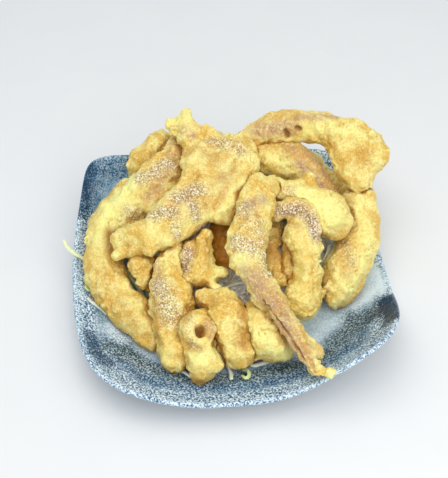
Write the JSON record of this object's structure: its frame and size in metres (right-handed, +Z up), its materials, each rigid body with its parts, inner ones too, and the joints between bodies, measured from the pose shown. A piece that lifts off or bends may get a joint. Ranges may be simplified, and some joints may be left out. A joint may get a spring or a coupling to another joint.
{
  "type": "fried calamari",
  "caption": "Heap of battered fried calamari strips and tentacles on shredded cabbage in a square glazed dish with lifted corners.",
  "frame": {"origin": "middle of the dish's foot, on the surface it stands on", "axes": "+Z up, -Y towards the front edge of the dish, the dish's sides run along X and Y"},
  "size_m": [0.2277, 0.2172, 0.0855],
  "materials": {
    "glaze": "glossy speckled blue-grey glaze",
    "batter": "crisp golden fried batter, slightly oily",
    "cabbage": "moist pale green cabbage"
  },
  "bodies": {
    "root": {"cabbage": "cabbage", "calamari_arch": "batter", "calamari_back_curl": "batter", "calamari_back_drop": "batter", "calamari_back_hook": "batter", "calamari_back_ridge": "batter", "calamari_back_slope": "batter", "calamari_back_stem": "batter", "calamari_bright": "batter", "calamari_broad": "batter", "calamari_front_centre": "batter", "calamari_front_knot": "batter", "calamari_front_right": "batter", "calamari_hook": "batter", "calamari_inner_band": "batter", "calamari_inner_loop": "batter", "calamari_inner_stem": "batter", "calamari_left_arc": "batter", "calamari_left_stem": "batter", "calamari_lobe": "batter", "calamari_long": "batter", "calamari_neck": "batter", "calamari_right_fall": "batter", "calamari_right_rise": "batter", "calamari_under_broad": "batter", "calamari_under_fold": "batter", "dish": "glaze", "shred_front_curl": "cabbage", "shred_front_flat": "cabbage", "shred_front_ring": "cabbage", "shred_front_white": "cabbage", "shred_left_gap": "cabbage", "shred_left_green": "cabbage", "shred_left_rim": "cabbage", "shred_left_thin": "cabbage", "shred_right_gap": "cabbage"}
  },
  "joints": []
}
